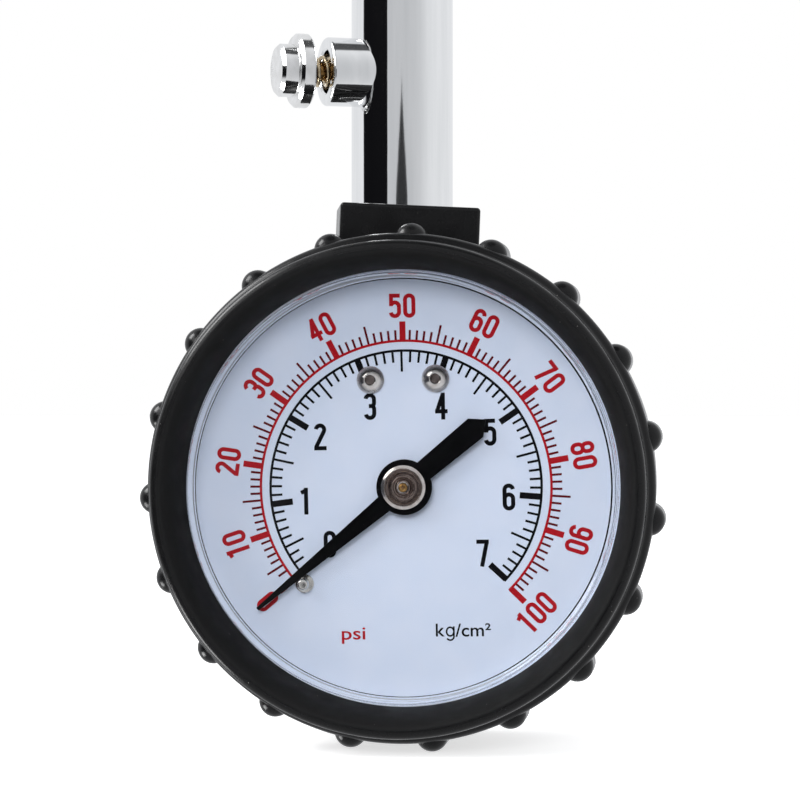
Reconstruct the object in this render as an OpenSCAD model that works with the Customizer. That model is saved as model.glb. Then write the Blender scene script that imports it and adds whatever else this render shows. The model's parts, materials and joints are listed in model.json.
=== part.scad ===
// Dial tyre pressure gauge on a rigid stem, with a bleed button and an angled chuck.
// Upright: the stem runs along +Z, the dial faces -Y, and the lowest ribs of the boot stand on z = 0.
// Depths are measured from the printed face of the dial and are positive towards the reader.

/* [Case and window] */
// Outer radius of the gauge case
case_r = 26; // [22:0.5:34]
// Sheet thickness of the case
case_wall = 0.7; // [0.5:0.1:1.2]
// Depth of the case behind the dial
case_back = 16; // [15:0.5:22]
// Width of the crimped rim over the lens
crimp_w = 1.3; // [0.8:0.1:1.8]
// Gap between the dial and the lens seal
spacer_h = 2.4; // [2:0.1:4]
// Height of the raised window above its flange
window_rise = 1.4; // [0.8:0.1:2.5]
// Thickness of the window
window_t = 2; // [1.5:0.1:3]

/* [Boot] */
// Wall of the rubber boot round the case
boot_wall = 1.4; // [1:0.1:3]
// How far the lip reaches in over the case's edge
lip_overlap = 1.9; // [1.6:0.1:2.5]
// Height of the hooded lip in front of the lens flange
lip_h = 7.4; // [3:0.2:10]
// Number of ribs round the boot
rib_n = 19; // [8:1:24]
// Radius of a rib's round back
rib_r = 1.8; // [1:0.1:2.5]
// Straight length of a rib
rib_len = 5; // [1:0.5:10]
// Turn of the boot about the dial's axis, clockwise
boot_roll = 2.3; // [0:0.1:5]
// Rubber round the stem in the boot's neck
neck_wall = 2.1; // [1.5:0.1:4]
// Height of the neck's top above the dial's centre, past the case
neck_rise = 5.6; // [4:0.2:12]
// Turn of the neck about the stem, its front to the right
neck_turn = 9; // [0:0.5:12]

/* [Dial] */
// Turn of the printed dial, anticlockwise
dial_roll = 1.3; // [-5:0.1:5]
// Height of the dial screws above the centre
screw_y = 12; // [11.5:0.1:13]
// Distance between the dial screws
screw_gap = 7.3; // [6:0.1:8]
// Direction of the pointer at rest, anticlockwise from the right
zero_angle = 219.7; // [210:0.1:230]
// Length of the pointer from the centre
pointer_len = 21.4; // [15:0.2:22.5]
// Length of the pointer's tail
tail_len = 11.8; // [8:0.2:14]

/* [Movement] */
// Tooth size
gear_m = 0.18; // [0.15:0.01:0.2]
// Teeth of the pinion
pinion_n = 12; // [10:1:14]
// Teeth of the sector if it were a whole wheel
sector_n = 120; // [100:10:140]
// Radius of the pointer's and the sector's arbors
arbor_r = 0.5; // [0.4:0.05:0.6]
// Distance from the case to the Bourdon tube's middle line
tube_inset = 5.8; // [5:0.1:7]
// Sweep of the Bourdon tube
tube_sweep = 267; // [255:1:268]

/* [Stem] */
// Diameter of the stem
stem_d = 11.6; // [10.5:0.1:16]
// Length of the stem
stem_len = 84; // [75:1:140]
// Depth of the stem's axis behind the dial
stem_back = 9; // [8.5:0.1:9.5]
// Sideways place of the stem's axis
stem_x = -1.4; // [-2:0.1:0]
// Diameter of the socket's threaded shank
shank_d = 8; // [6:0.1:8.5]

/* [Bleed valve] */
// Height of the bleed valve above the stem's foot
bleed_up = 19.2; // [16:0.2:24]
// Turn of the bleed valve from the left towards the reader
bleed_turn = 23.4; // [0:0.1:60]
// Diameter of the side boss
boss_d = 7.8; // [7.2:0.1:10]
// Length of the boss past the stem
boss_len = 3.4; // [2:0.1:6]
// Bore of the boss
boss_bore = 4.9; // [4.4:0.1:5.2]
// Travel of the button
bleed_travel = 1.9; // [1:0.1:2.3]
// Diameter of the button's flange
flange_d = 8.4; // [7.4:0.1:11]
// Diameter of the button's cap
cap_d = 6; // [4.5:0.1:7]

/* [Chuck] */
// Angle of the chuck's head from the stem
chuck_angle = 45; // [30:1:60]
// Radius of the screwed nose
nose_r = 7; // [6.6:0.1:9]
// Bore of the chuck's mouth, for a tyre valve
mouth_d = 8.4; // [8:0.1:9]
// Depth of the mouth
mouth_len = 5; // [3:0.5:8]

/* [Hidden] */

$fn = 64;
fit = 0.1;            // clearance between pieces that seat in each other
thread_gap = 0.03;    // clearance of a screwed pair
run = 0.05;           // radial clearance of a turning fit

// case, window and dial, depth from the dial's face
case_ri = case_r - case_wall;
ring_w = 0.85;
dial_t = 0.5;
gasket_h = 0.6;
lens_foot = spacer_h + gasket_h;
flange_top = lens_foot + 1.4;
window_top = flange_top + window_rise;
window_under = window_top - window_t;
window_edge = case_r - lip_overlap;
lens_r = window_edge - 0.15;
shoulder_r = window_rise * 0.4;
lens_step = 0.8;
crimp_top = flange_top + 0.6;
seat_r = case_ri - fit;

// boot
boot_ri = case_r + fit;
boot_r = boot_ri + boot_wall;
bead_r = boot_r + 0.55;
bead_round = 1.2;
lip_r = boot_r - 0.6;
lip_crest = flange_top + lip_h;
bead_d = 6.5;
boot_end = case_back + 2;
back_open = case_r - 9;
rib_ring = boot_r - 0.1;
rib_front = 7;
neck_top = case_r + neck_rise;
neck_w = stem_d + 2 * neck_wall;
neck_depth = 14;
neck_x = stem_x - 0.65;
neck_chamfer = 0.5;
neck_root = 4;
rib_at = [for (i = [0 : rib_n - 1]) 90 - boot_roll + i * 360 / rib_n];

// dial furniture
screw_head_r = 1.5;
screw_r = 0.8;
pin_at = 15.7;
pointer_low = 1.2;
pointer_t = 0.5;
hub_r = 3.1;
bush_r = 2.44;
pin_r = 0.65;
pin_gap = 0.03;
tip_w = 0.2;
root_w = 1;
width_at_pin = root_w + (tip_w - root_w) * (pin_at - hub_r) / (pointer_len - hub_r);
pin_angle = zero_angle + asin((pin_r + width_at_pin + pin_gap) / pin_at);

// movement, depth behind the dial is negative
front_plate_at = -2.5;
rear_plate_at = -8.7;
plate_t = 0.8;
pinion_r = pinion_n * gear_m / 2;
sector_r = sector_n * gear_m / 2;
gear_gap = pinion_r + sector_r;
sector_dir = 215;
sector_at = gear_gap * [cos(sector_dir), sin(sector_dir)];
sector_low = -5.6;
sector_t = 0.8;
pointer_sweep = 263.4;
swing = pointer_sweep * pinion_n / sector_n;
tail_angle = 167;
tail_r = 5.5;
tail_at = sector_at + tail_r * [cos(tail_angle), sin(tail_angle)];
tail_end = sector_at + tail_r * [cos(tail_angle + swing), sin(tail_angle + swing)];
pillars = [[5, 5], [-8, 5.5], [-1.5, -10.5]];
pillar_r = 1.2;
screw_cap_r = 1.2;
screw_cap_h = 0.6;
shank_r = 0.55;
hole_r = 0.6;
tapped_r = 0.58;
plate_outline = [[6.8, 9.8], [-9.8, 9.8], [-12.2, -6.5], [-10.5, -9.4], [-1.5, -12.7],
    [1.2, -11], [6.8, 2.5]];
lug_x = 2.8;
lug_y = 8.3;
tube_r = case_ri - tube_inset;
tube_w = 2.2;
tube_h = 6;
tube_wall = 0.35;
tube_mid = -7;
tube_root = 82;
tube_tip = tube_root - tube_sweep;
ear_x = -(tube_r - tube_w / 2 - 0.5);
ear_at = [ear_x + 1.4, 2.2];
ear_travel = tail_end - tail_at + [-0.35, 0];
link_low = -4.7;
link_t = 0.6;
link_pin_r = 0.45;
eye_r = 0.9;

// socket
block_w = 13;
block_low = 10.2;
block_top = case_ri - 2.3;
block_front = -3;
block_back = -14;
collar_r = shank_d / 2 + 1;
shoulder = case_r + 1;
washer_h = 0.8;
shank_len = 9;
throttle_r = 1.2;
airway_r = 0.8;

// stem
stem_r = stem_d / 2;
stem_foot = shoulder + washer_h;
stem_top = stem_foot + stem_len;
stem_edge = 0.3;
air_r = 1.7;
chamber_r = 3.1;
chamber_low = stem_foot + bleed_up + 9;
chamber_top = chamber_low + 10;
top_bore = chamber_r + 0.5;
seat_h = 4;
seal_h = 0.8;
poppet_h = 1.5;

// bleed valve, distance from the stem's axis
bleed_z = stem_foot + bleed_up;
boss_r = boss_d / 2;
boss_end = stem_r + boss_len;
boss_edge = 0.4;
bore_end = -2.8;
seat_in = 2.4;
seat_out = boss_end - 2.4;
rod_r = 1;
button_back = boss_end + bleed_travel + 0.15;
flange_h = 1.73;
cap_h = 1.95;
rod_grip = 1.4;
button_end = button_back + flange_h + cap_h;
coil_r = 0.22;
disc_r = 1.85;
disc_back = 1.8;
disc_t = 0.9;

// chuck, distance along the head from the elbow's centre
hex_h = 4.7;
hex_af = stem_d + 1.1;
hex_low = stem_top + washer_h;
elbow_z = hex_low + hex_h + 6.5;
elbow_r = nose_r - 0.8;
spigot_r = nose_r - 1.4;
chuck_bore = 1.6;
thread_at = elbow_r + 1.8;
thread_len = 4.5;
seal_at = thread_at + thread_len;
nose_seal_h = 2.1;
mouth_at = seal_at + nose_seal_h;
nose_end = mouth_at + mouth_len;
nose_edge = 0.6;

// the whole gauge, placed so that its box is centred and stands on z = 0
reach_back = stem_back + max((nose_end - nose_edge) * sin(chuck_angle) + nose_r * cos(chuck_angle),
    nose_end * sin(chuck_angle) + (nose_r - nose_edge) * cos(chuck_angle));
rib_x = [for (a = rib_at) rib_ring * cos(a)];
rib_z = [for (a = rib_at) rib_ring * sin(a)];
gauge_x = -(max(rib_x) + min(rib_x)) / 2;
gauge_y = (lip_crest - reach_back) / 2;
gauge_z = rib_r - min(rib_z);

// ---- frames ----

// x to the right, y up, z towards the reader, from the middle of the dial's face
module dial_frame() {
    translate([gauge_x, gauge_y, gauge_z]) rotate([90, 0, 0]) children();
}

// z up the stem, from the height of the dial's centre
module stem_frame() {
    translate([gauge_x + stem_x, gauge_y + stem_back, gauge_z]) children();
}

// z out along the bleed button, from the stem's axis
module bleed_frame() {
    stem_frame() translate([0, 0, bleed_z]) rotate([0, 0, bleed_turn]) rotate([0, -90, 0]) children();
}

// z out of the chuck's mouth, from the elbow's centre
module chuck_frame() {
    stem_frame() translate([0, 0, elbow_z]) rotate([-chuck_angle, 0, 0]) children();
}

// ---- shared shapes ----

module ring(r_in, r_out, low, high) {
    translate([0, 0, low]) difference() {
        cylinder(r = r_out, h = high - low);
        translate([0, 0, -1]) cylinder(r = r_in, h = high - low + 2);
    }
}

module rod(r, low, high) {
    translate([0, 0, low]) cylinder(r = r, h = high - low);
}

// flat-sided oval, w wide and h high
module oval(w, h) {
    square([w, h - w], center = true);
    for (s = [-1, 1]) translate([0, s * (h - w) / 2]) circle(d = w, $fn = 32);
}

// bar with round ends between two points of a plane
module bar2(a, b, r) {
    d = b - a;
    translate(a) rotate([0, 0, atan2(d[1], d[0])]) translate([0, -r]) square([norm(d), 2 * r]);
    translate(a) circle(r = r, $fn = 32);
    translate(b) circle(r = r, $fn = 32);
}

module slab(low, t) {
    translate([0, 0, low]) linear_extrude(height = t) children();
}

// round wire wound about the z axis, its ends standing on low and high
module coil(mean_r, wire_r, low, high, turns) {
    sides = 8;
    steps = turns * 14;
    rise = high - low - 2 * wire_r;
    ring_at = [for (i = [0 : steps]) i / steps];
    points = [for (t = ring_at, k = [0 : sides - 1])
        let (a = 360 * turns * t, c = mean_r + wire_r * cos(360 * k / sides))
            [c * cos(a), c * sin(a), low + wire_r + rise * t + wire_r * sin(360 * k / sides)]];
    walls = [for (i = [0 : steps - 1], k = [0 : sides - 1]) let (n = (k + 1) % sides)
        [i * sides + k, i * sides + n, (i + 1) * sides + n, (i + 1) * sides + k]];
    first = [for (k = [sides - 1 : -1 : 0]) k];
    last = [for (k = [0 : sides - 1]) steps * sides + k];
    polyhedron(points = points, faces = concat(walls, [first, last]), convexity = 8);
}

// involute tooth flanks
pressure = 25;
addendum = 0.8 * gear_m;
dedendum = 1.1 * gear_m;
backlash = 0.05;
function involute(rb, r) = let (a = acos(min(1, rb / r))) tan(a) * 180 / PI - a;
function half_tooth(n, rp, r) = 90 / n - backlash / rp * 90 / PI
    + involute(rp * cos(pressure), rp) - involute(rp * cos(pressure), r);
function tooth(n, rp, at) = let (rb = rp * cos(pressure), foot = rp - dedendum,
        rs = [for (k = [0 : 4]) let (low = max(rb, foot)) low + (rp + addendum - low) * k / 4],
        up = concat([[foot, half_tooth(n, rp, rs[0])]], [for (r = rs) [r, half_tooth(n, rp, r)]]))
    concat([for (p = up) p[0] * [cos(at - p[1]), sin(at - p[1])]],
        [for (i = [len(up) - 1 : -1 : 0]) let (p = up[i]) p[0] * [cos(at + p[1]), sin(at + p[1])]]);

// ---- boot, case and window ----

// the hooded lip rises from the window's edge in a quarter ellipse and turns over at its crest
module lip_profile() {
    rise = [for (t = [0 : 6 : 90])
        [lip_r - (lip_r - window_edge) * cos(t), flange_top + 0.1 + (lip_h - 0.1) * sin(t)]];
    turn = [for (t = [75 : -15 : 0]) [lip_r - 0.2 + 0.4 * cos(t), lip_crest - 0.4 + 0.4 * sin(t)]];
    polygon(concat(rise, turn, [[lip_r + 0.2, bead_d], [boot_ri - 0.2, bead_d - 1],
        [boot_ri - 0.2, crimp_top + 0.05], [window_edge + 0.45, crimp_top + 0.05],
        [window_edge + 0.45, flange_top + 0.1]]));
}

module rib(a) {
    rotate([0, 0, a]) translate([rib_ring, 0, rib_front - rib_r - rib_len]) {
        cylinder(r = rib_r, h = rib_len, $fn = 32);
        sphere(r = rib_r, $fn = 32);
        translate([0, 0, rib_len]) sphere(r = rib_r, $fn = 32);
    }
}

// a block with chamfered edges; the reader's side is at -y
module neck_section() {
    c = neck_chamfer;
    w = neck_w / 2;
    d = neck_depth / 2;
    rotate([0, 0, neck_turn]) polygon([[c - w, -d], [w - c, -d], [w, c - d], [w, d - c], [w - c, d],
        [c - w, d], [-w, d - c], [-w, c - d]]);
}

module neck() {
    rotate([0, 0, -boot_roll]) translate([neck_x, 0, -stem_back]) rotate([-90, 0, 0])
        translate([0, 0, boot_ri - neck_root])
            linear_extrude(height = neck_top - boot_ri + neck_root) neck_section();
}

module boot() {
    color([0.11, 0.11, 0.11]) dial_frame() difference() {
        union() {
            rotate_extrude() {
                lip_profile();
                translate([boot_ri - 0.2, -boot_end]) square([boot_wall + 0.2, boot_end + bead_d]);
                translate([back_open, -boot_end]) square([boot_r - back_open, boot_end - case_back - fit]);
                translate([bead_r - bead_round, bead_d]) circle(r = bead_round, $fn = 32);
            }
            for (a = rib_at) rib(a);
            neck();
        }
        rod(boot_ri, -case_back - fit, crimp_top + 0.05);
        translate([stem_x, 0, -stem_back]) rotate([-90, 0, 0]) rod(stem_r + 0.15, 10, neck_top + 5);
    }
}

module gauge_case() {
    color([0.16, 0.16, 0.17]) dial_frame() difference() {
        rotate_extrude() {
            translate([case_ri, -case_back]) square([case_wall, case_back + crimp_top]);
            translate([0, -case_back]) square([case_r, case_wall]);
            translate([case_r - crimp_w, flange_top]) square([crimp_w, crimp_top - flange_top]);
        }
        translate([stem_x, 0, -stem_back]) rotate([-90, 0, 0]) rod(collar_r + 0.2, 12, case_r + 4);
        for (r = [8, back_open - 2]) translate([0, 0, -case_back - 1]) ring(r - 0.3, r + 0.3, 0, 1.25);
    }
}

module lens() {
    edge = [for (t = [0 : 10 : 90])
        [lens_r - shoulder_r + shoulder_r * cos(t), window_top - shoulder_r + shoulder_r * sin(t)]];
    color([0.85, 0.92, 1, 0.3]) dial_frame() rotate_extrude($fn = 128) polygon(concat(
        [[0, window_under], [lens_r - lens_step, window_under], [lens_r - lens_step, lens_foot],
            [seat_r, lens_foot], [seat_r, flange_top], [lens_r, flange_top]],
        edge, [[0, window_top]]));
}

module lens_gasket() {
    color([0.2, 0.2, 0.2]) dial_frame() ring(seat_r - ring_w, seat_r, spacer_h, lens_foot);
}

module spacer_ring() {
    color([0.88, 0.89, 0.9]) dial_frame() ring(seat_r - ring_w, seat_r, 0, spacer_h);
}

// ---- dial and pointer ----

module at_dial_screws() {
    rotate([0, 0, dial_roll]) for (s = [-1, 1]) translate([s * screw_gap / 2, screw_y, 0]) children();
}

module at_stop_pin() {
    rotate([0, 0, pin_angle]) translate([pin_at, 0, 0]) children();
}

module dial_plate() {
    color([0.87, 0.9, 0.96]) dial_frame() difference() {
        rod(case_ri - 0.3, -dial_t, 0);
        rod(1.2, -2, 1);
        at_dial_screws() rod(screw_r + fit, -2, 1);
        at_stop_pin() rod(pin_r - 0.03, -2, 1);
    }
}

module dial_screws() {
    color([0.8, 0.8, 0.8]) dial_frame() at_dial_screws() difference() {
        union() {
            rod(screw_head_r, 0, 0.35);
            translate([0, 0, 0.35]) intersection() {
                translate([0, 0, -1.6]) sphere(r = sqrt(1.6 * 1.6 + screw_head_r * screw_head_r));
                rod(screw_head_r, 0, 1);
            }
            rod(screw_r, -4.5, 0);
        }
        for (a = [0, 90]) rotate([0, 0, a + 20]) translate([-0.85, -0.2, 0.45]) cube([1.7, 0.4, 1]);
    }
}

module stop_pin() {
    color([0.8, 0.8, 0.78]) dial_frame() at_stop_pin() {
        rod(pin_r - 0.05, -dial_t - 0.6, 0);
        rod(1.05, 0, 0.3);
        rod(pin_r, 0.3, pointer_low + pointer_t + 0.5);
    }
}

module pointer() {
    tail_w = 1.17;
    color([0.05, 0.05, 0.05]) dial_frame() rotate([0, 0, zero_angle]) slab(pointer_low, pointer_t) difference() {
        union() {
            circle(r = hub_r);
            polygon([[0, -root_w], [hub_r, -root_w], [pointer_len, -tip_w], [pointer_len, tip_w],
                [hub_r, root_w], [0, root_w]]);
            polygon([[0, tail_w], [-tail_len + 1.45, tail_w + 0.16], [-tail_len, 0],
                [-tail_len + 1.45, -tail_w - 0.16], [0, -tail_w]]);
        }
        circle(r = 1);
    }
}

module pointer_bush() {
    top = pointer_low + pointer_t + 0.9;
    color([0.78, 0.77, 0.74]) dial_frame() difference() {
        union() {
            rod(1, pointer_low - 0.4, top);
            rod(bush_r, pointer_low + pointer_t, top - 0.3);
            translate([0, 0, top - 0.3]) cylinder(r1 = bush_r, r2 = bush_r - 0.3, h = 0.3);
        }
        rod(arbor_r, -1, 5);
        ring(1.25, 1.75, top - 0.25, top + 1);
    }
}

module pinion_shaft() {
    color([0.72, 0.45, 0.25]) dial_frame() {
        rod(arbor_r, rear_plate_at - 0.6, pointer_low + pointer_t + 1.05);
        rod(1.3, -3.7, -3.1);
        slab(-5.9, 1.4) polygon([for (i = [0 : pinion_n - 1]) each
            tooth(pinion_n, pinion_r, sector_dir + i * 360 / pinion_n)]);
    }
}

// ---- movement ----

spring_turns = 4.5;
spring_in = 1.32;
spring_out = 5;
stud_r = 0.44;
stud_at = spring_out + 0.06 + stud_r;

module hairspring() {
    t = 0.12;
    at = [for (i = [0 : spring_turns * 28]) i / (spring_turns * 28)];
    line = [for (u = at) [spring_in + (spring_out - spring_in) * u, 90 + 360 * spring_turns * (u - 1)]];
    color([0.75, 0.75, 0.78]) dial_frame() slab(-3.6, 0.4) polygon(concat(
        [for (p = line) p[0] * [cos(p[1]), sin(p[1])]],
        [for (i = [len(line) - 1 : -1 : 0]) (line[i][0] + t) * [cos(line[i][1]), sin(line[i][1])]]));
}

module hairspring_stud() {
    color([0.8, 0.66, 0.35]) dial_frame() translate([0, stud_at + 0.06, 0]) rod(stud_r, -3.9, front_plate_at);
}

module plate_shape() {
    difference() {
        polygon(plate_outline);
        circle(r = arbor_r + run, $fn = 32);
        translate(sector_at) circle(r = arbor_r + run, $fn = 32);
        for (p = pillars) translate(p) circle(r = hole_r, $fn = 32);
        children();
    }
}

module front_plate() {
    color([0.82, 0.68, 0.36]) dial_frame() slab(front_plate_at, plate_t) plate_shape();
}

module rear_plate() {
    color([0.82, 0.68, 0.36]) dial_frame() slab(rear_plate_at, plate_t) plate_shape()
        for (s = [-1, 1]) translate([stem_x + s * lug_x, lug_y]) circle(r = hole_r, $fn = 32);
}

module plate_pillars() {
    color([0.82, 0.68, 0.36]) dial_frame() for (p = pillars) translate(p)
        ring(tapped_r, pillar_r, rear_plate_at + plate_t, front_plate_at);
}

module plate_screws() {
    front = front_plate_at + plate_t;
    color([0.7, 0.7, 0.72]) dial_frame() {
        for (p = pillars) translate(p) {
            rod(screw_cap_r, front, front + screw_cap_h);
            rod(shank_r, front - 2.8, front);
            rod(screw_cap_r, rear_plate_at - screw_cap_h, rear_plate_at);
            rod(shank_r, rear_plate_at, rear_plate_at + 2.4);
        }
        for (s = [-1, 1]) translate([stem_x + s * lug_x, lug_y]) {
            rod(screw_cap_r, rear_plate_at + plate_t, rear_plate_at + plate_t + screw_cap_h);
            rod(shank_r, rear_plate_at - 2.4, rear_plate_at + plate_t);
        }
    }
}

module sector_gear() {
    contact = sector_dir - 180;
    step = 360 / sector_n;
    first = -ceil((swing + 3) / step);
    last = 2;
    arc = [for (i = [first : last]) each tooth(sector_n, sector_r, contact + (i + 0.5) * step)];
    from = contact + first * step;
    to = contact + (last + 1) * step;
    inner = [for (a = [to : -2 : from]) (sector_r - 1.8) * [cos(a), sin(a)]];
    arm = (sector_r - 1.2) * [cos((from + to) / 2), sin((from + to) / 2)];
    color([0.8, 0.64, 0.3]) dial_frame() translate(sector_at) difference() {
        union() {
            slab(sector_low, sector_t) {
                polygon(concat(arc, inner));
                bar2([0, 0], arm, 1);
                bar2([0, 0], tail_at - sector_at, eye_r);
            }
            rod(1.5, sector_low - 0.8, sector_low + sector_t + 0.4);
        }
        rod(arbor_r, -10, 0);
        translate(tail_at - sector_at) rod(link_pin_r + run, -10, 0);
    }
}

module sector_shaft() {
    color([0.72, 0.72, 0.74]) dial_frame() translate(sector_at)
        rod(arbor_r, rear_plate_at - 0.6, front_plate_at + plate_t + 0.4);
}

module link() {
    color([0.75, 0.75, 0.76]) dial_frame() slab(link_low, link_t) difference() {
        union() {
            bar2(tail_at, ear_at, 0.6);
            for (p = [tail_at, ear_at]) translate(p) circle(r = eye_r, $fn = 32);
        }
        for (p = [tail_at, ear_at]) translate(p) circle(r = link_pin_r, $fn = 32);
    }
}

module link_pins() {
    color([0.6, 0.6, 0.62]) dial_frame() for (p = [tail_at, ear_at]) translate(p)
        rod(link_pin_r, sector_low - 0.3, link_low + link_t + 0.2);
}

module tube_path(w, h, from, to) {
    rotate([0, 0, from]) rotate_extrude(angle = to - from) translate([tube_r, tube_mid]) oval(w, h);
}

module bourdon_tube() {
    color([0.78, 0.6, 0.32]) dial_frame() difference() {
        tube_path(tube_w, tube_h, tube_tip, tube_root);
        tube_path(tube_w - 2 * tube_wall, tube_h - 2 * tube_wall, tube_tip - 1, tube_root + 1);
    }
}

module tube_end_cap() {
    travel = norm(ear_travel);
    color([0.8, 0.66, 0.35]) dial_frame() {
        tube_path(tube_w + 0.6, tube_h + 0.6, tube_tip - 5, tube_tip);
        slab(sector_low, sector_t) difference() {
            translate([ear_x, ear_at[1] - travel - 1.5]) square([2.8, travel + 3.4]);
            bar2(ear_at, ear_at + ear_travel * (1 + 0.2 / travel), link_pin_r + 0.15);
        }
        translate([ear_x - 0.8, ear_at[1], sector_low]) cube([1.3, 1.6, sector_t]);
    }
}

// ---- socket ----

module socket() {
    color([0.78, 0.62, 0.32]) dial_frame() difference() {
        union() {
            translate([stem_x - block_w / 2, block_low, block_back])
                cube([block_w, block_top - block_low, block_front - block_back]);
            translate([stem_x - 4.4, lug_y - 1.6, -12.5]) cube([8.8, block_low, rear_plate_at + 12.5]);
            at_dial_screws() rod(1.6, -8, -dial_t);
            translate([stem_x, 0, -stem_back]) rotate([-90, 0, 0]) {
                rod(collar_r, block_top - 2, shoulder);
                rod(shank_d / 2, shoulder - 1, shoulder + shank_len);
            }
        }
        tube_path(tube_w + 0.04, tube_h + 0.04, tube_root - 20, tube_root + 0.1);
        translate([stem_x, tube_r - 0.2, -stem_back]) {
            rotate([-90, 0, 0]) rod(airway_r, -1, 40);
            rotate([0, 90, 0]) rod(airway_r, 0, tube_r * cos(tube_root) - stem_x + 0.5);
            rotate([-90, 0, 0]) rod(throttle_r + thread_gap, shoulder - tube_r + 5, 40);
        }
        at_dial_screws() rod(screw_r + thread_gap, -4.8, 1);
        for (s = [-1, 1]) translate([stem_x + s * lug_x, lug_y, 0]) rod(tapped_r, -11.4, 1);
    }
}

module restrictor() {
    top = shoulder + shank_len - 0.3;
    color([0.8, 0.66, 0.35]) stem_frame() difference() {
        rod(throttle_r, top - 3, top);
        rod(0.25, top - 4, top + 1);
        translate([-2, -0.2, top - 0.5]) cube([4, 0.4, 1]);
    }
}

module socket_washer() {
    color([0.75, 0.3, 0.2]) stem_frame() ring(shank_d / 2 + 0.15, stem_r - 0.4, shoulder, stem_foot);
}

// ---- stem with its two valves ----

module stem_body() {
    color([0.85, 0.86, 0.87]) difference() {
        union() {
            stem_frame() {
                rod(stem_r, stem_foot + stem_edge, stem_top - stem_edge);
                translate([0, 0, stem_foot])
                    cylinder(r1 = stem_r - stem_edge, r2 = stem_r, h = stem_edge);
                translate([0, 0, stem_top - stem_edge])
                    cylinder(r1 = stem_r, r2 = stem_r - stem_edge, h = stem_edge);
            }
            bleed_frame() {
                rod(boss_r, 0, boss_end - boss_edge);
                translate([0, 0, boss_end - boss_edge])
                    cylinder(r1 = boss_r, r2 = boss_r - boss_edge, h = boss_edge);
            }
        }
        stem_frame() {
            rod(shank_d / 2 + thread_gap, stem_foot - 1, shoulder + shank_len + 1);
            rod(air_r, stem_foot, chamber_low + 1);
            rod(chamber_r, chamber_low, chamber_top + 1);
            rod(top_bore, chamber_top, stem_top + 1);
        }
        bleed_frame() rod(boss_bore / 2, bore_end, boss_end + 1);
    }
}

module bleed_seat() {
    color([0.78, 0.62, 0.32]) bleed_frame() ring(rod_r + 0.25, boss_bore / 2 - thread_gap, seat_in, seat_out);
}

module bleed_plunger() {
    color([0.55, 0.38, 0.16]) bleed_frame() {
        rod(rod_r, seat_in - disc_back, button_back + rod_grip);
        rod(disc_r, seat_in - disc_back, seat_in - disc_t);
    }
}

module bleed_seal() {
    color([0.1, 0.1, 0.1]) bleed_frame() ring(rod_r, disc_r, seat_in - disc_t, seat_in);
}

module bleed_spring() {
    color([0.7, 0.66, 0.58]) bleed_frame() coil(1.6, coil_r, seat_out, button_back, 5);
}

module bleed_button() {
    edge = 0.35;
    cap_top = button_back + flange_h;
    color([0.86, 0.87, 0.88]) bleed_frame() difference() {
        rotate_extrude() polygon([[0, button_back], [flange_d / 2 - 0.2, button_back],
            [flange_d / 2, button_back + 0.2], [flange_d / 2, cap_top - edge], [flange_d / 2 - edge, cap_top],
            [cap_d / 2, cap_top], [cap_d / 2, button_end - edge], [cap_d / 2 - edge, button_end],
            [0, button_end]]);
        rod(rod_r, button_back - 1, button_back + rod_grip);
    }
}

module check_seat() {
    color([0.78, 0.62, 0.32]) stem_frame() difference() {
        rod(top_bore - thread_gap, chamber_top, chamber_top + seat_h);
        rod(1.5, chamber_top - 1, chamber_top + seat_h + 1);
        translate([0, 0, chamber_top + seat_h - 1.6]) cylinder(r = 2.2, h = 3, $fn = 6);
    }
}

module check_seal() {
    color([0.1, 0.1, 0.1]) stem_frame() rod(2.3, chamber_top - seal_h, chamber_top);
}

module check_poppet() {
    head = chamber_top - seal_h;
    color([0.8, 0.66, 0.35]) stem_frame() {
        rod(2.6, head - poppet_h, head);
        rod(0.9, chamber_low + 3.2, head - poppet_h);
    }
}

module check_spring() {
    color([0.72, 0.72, 0.75]) stem_frame()
        coil(2.1, 0.25, chamber_low, chamber_top - seal_h - poppet_h, 5);
}

// ---- chuck ----

module chuck_body() {
    color([0.85, 0.86, 0.87]) difference() {
        union() {
            stem_frame() {
                rod(top_bore - thread_gap, stem_top - 8, hex_low + 1);
                translate([0, 0, hex_low]) cylinder(d = hex_af / cos(30), h = hex_h, $fn = 6);
                rod(4.5, hex_low + hex_h - 0.5, elbow_z);
                translate([0, 0, elbow_z]) sphere(r = elbow_r);
            }
            chuck_frame() {
                rod(elbow_r - 0.3, 0, thread_at);
                rod(spigot_r, thread_at - 0.5, seal_at);
            }
        }
        stem_frame() rod(chuck_bore, stem_top - 9, elbow_z);
        chuck_frame() rod(chuck_bore, 0, seal_at + 1);
        stem_frame() translate([0, 0, elbow_z]) sphere(r = 1.9);
    }
}

module chuck_washer() {
    color([0.75, 0.3, 0.2]) stem_frame() ring(top_bore + 0.1, stem_r - 0.2, stem_top, hex_low);
}

module chuck_nose() {
    color([0.85, 0.86, 0.87]) chuck_frame() difference() {
        rotate_extrude() polygon([[0, thread_at + 0.2], [nose_r - 0.4, thread_at + 0.2],
            [nose_r, thread_at + 0.6], [nose_r, nose_end - nose_edge], [nose_r - nose_edge, nose_end],
            [0, nose_end]]);
        rod(spigot_r + thread_gap, thread_at - 1, mouth_at);
        rod(mouth_d / 2, thread_at - 1, nose_end + 1);
    }
}

module chuck_seal() {
    color([0.12, 0.12, 0.12]) chuck_frame() ring(2.2, nose_r - 1.5, seal_at, mouth_at);
}

module depressor_pin() {
    color([0.8, 0.66, 0.35]) chuck_frame() {
        rod(0.8, seal_at - 3.5, mouth_at - 0.05);
        translate([0, 0, seal_at - 3.5]) cylinder(r = 1.57, h = 1.5, $fn = 3);
    }
}

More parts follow.
